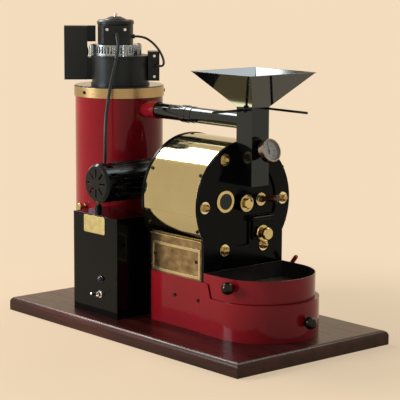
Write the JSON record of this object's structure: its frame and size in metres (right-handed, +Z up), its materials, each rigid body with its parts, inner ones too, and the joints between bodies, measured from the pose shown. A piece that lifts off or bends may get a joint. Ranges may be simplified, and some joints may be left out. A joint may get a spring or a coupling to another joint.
{
  "type": "home coffee roaster",
  "caption": "Drum coffee roaster on a wooden board with a square hopper, cooling tray, chaff cyclone topped by a blower, and a control box.",
  "frame": {"origin": "centre of the base board's underside", "axes": "+Z up, +Y from the cooling tray at the front to the cyclone at the back, +X to the right seen from the front"},
  "size_m": [0.405, 0.737, 0.639],
  "materials": {
    "mahogany": "gloss",
    "red_enamel": "gloss",
    "black_enamel": "gloss",
    "polished_brass": "polished",
    "plain_brass": "satin",
    "machined_steel": "satin",
    "drum_steel": "matte",
    "cast_grey": "matte",
    "cast_alloy": "satin",
    "bright_plating": "polished",
    "dark_glass": "gloss",
    "clear_glass": "gloss",
    "dial_white": "satin",
    "pointer_black": "matte",
    "turned_wood": "satin",
    "black_plastic": "gloss",
    "lead_rubber": "matte",
    "lamp_red": "gloss",
    "grip_red": "satin",
    "heater_sheath": "matte"
  },
  "bodies": {
    "frame": {"base_board": "mahogany", "lower_case": "red_enamel", "apron_panels": "polished_brass", "drum_jacket": "polished_brass", "case_screws": "polished_brass", "front_plate": "black_enamel", "front_cover": "black_enamel", "tie_rods": "polished_brass", "sight_glass_ring": "polished_brass", "sight_glass": "dark_glass", "front_bearing": "black_enamel", "trier_bush": "polished_brass", "door_pin": "machined_steel", "rear_plate": "black_enamel", "rear_bearing": "machined_steel", "heating_elements": "heater_sheath", "gearbox_case": "cast_grey", "drive_motor": "black_enamel", "motor_end_bell": "black_enamel", "feed_chute": "black_enamel", "hopper": "black_enamel", "thermometer_case": "bright_plating", "thermometer_dial": "dial_white", "thermometer_lens": "clear_glass", "exhaust_pipe": "black_enamel", "cyclone_body": "red_enamel", "cyclone_lid": "black_enamel", "cyclone_band": "plain_brass", "latch_knob": "polished_brass", "blower_scroll": "black_enamel", "vent_ring": "cast_alloy", "blower_motor": "black_enamel", "terminal_cover": "black_enamel", "exhaust_box": "black_enamel", "capacitor_box": "black_enamel", "blower_lead": "lead_rubber", "capacitor_lead": "lead_rubber", "control_box": "black_enamel", "face_plate": "polished_brass", "pilot_lamp": "lamp_red", "toggle_bush": "bright_plating", "cooling_housing": "red_enamel", "housing_knob": "black_plastic"},
    "drum": {"roasting_drum": "drum_steel", "drum_shaft": "plain_brass", "worm_wheel": "plain_brass"},
    "worm": {"worm_shaft": "machined_steel"},
    "blower_rotor": {"blower_rotor": "machined_steel"},
    "gate": {"gate_lever": "black_enamel"},
    "trier": {"trier_tube": "machined_steel", "trier_handle": "turned_wood"},
    "door": {"discharge_door": "black_enamel", "discharge_knob": "polished_brass"},
    "tray": {"cooling_tray": "red_enamel", "tray_floor": "drum_steel", "tray_knob": "black_plastic"},
    "diverter": {"diverter_lever": "machined_steel", "diverter_grip": "grip_red"},
    "toggle": {"toggle_lever": "bright_plating"},
    "needle": {"thermometer_needle": "pointer_black"}
  },
  "joints": [
    {"name": "drum_spin", "type": "hinge", "parent": "frame", "child": "drum", "pos_m": [0.006, 0, 0.2785], "axis": [0, 1, 0], "continuous": true},
    {"name": "worm_spin", "type": "hinge", "parent": "frame", "child": "worm", "pos_m": [0.006, 0.1, 0.3035], "axis": [1, 0, 0], "continuous": true},
    {"name": "blower_spin", "type": "hinge", "parent": "frame", "child": "blower_rotor", "pos_m": [0.0005, 0.254, 0.5], "axis": [0, 0, 1], "continuous": true},
    {"name": "gate_hinge", "type": "hinge", "parent": "frame", "child": "gate", "pos_m": [0.006, -0.1765, 0.466], "axis": [1, 0, 0], "range_deg": [0, 85]},
    {"name": "trier_slide", "type": "slide", "parent": "frame", "child": "trier", "axis": [0, -0.9914, 0.1305], "range_m": [0, 0.06]},
    {"name": "door_hinge", "type": "hinge", "parent": "frame", "child": "door", "pos_m": [0.05, -0.16, 0.244], "axis": [-1, 0, 0], "range_deg": [0, 70]},
    {"name": "tray_lift", "type": "slide", "parent": "frame", "child": "tray", "axis": [0, 0, 1], "range_m": [0, 0.024]},
    {"name": "diverter_hinge", "type": "hinge", "parent": "frame", "child": "diverter", "pos_m": [0.118, -0.152, 0.121], "axis": [-1, 0, 0], "range_deg": [0, 60]},
    {"name": "toggle_hinge", "type": "hinge", "parent": "frame", "child": "toggle", "pos_m": [-0.162, 0.1024, 0.0727], "axis": [0, -1, 0], "range_deg": [0, 24]},
    {"name": "needle_hinge", "type": "hinge", "parent": "frame", "child": "needle", "pos_m": [0.01, -0.228, 0.391], "axis": [0, -0.9397, 0.342], "range_deg": [-130, 130], "stiffness_Nm_per_rad": 0.0001}
  ],
  "couplings": [
    {"joint": "drum_spin", "follows": "worm_spin", "ratio": 0.033333}
  ]
}
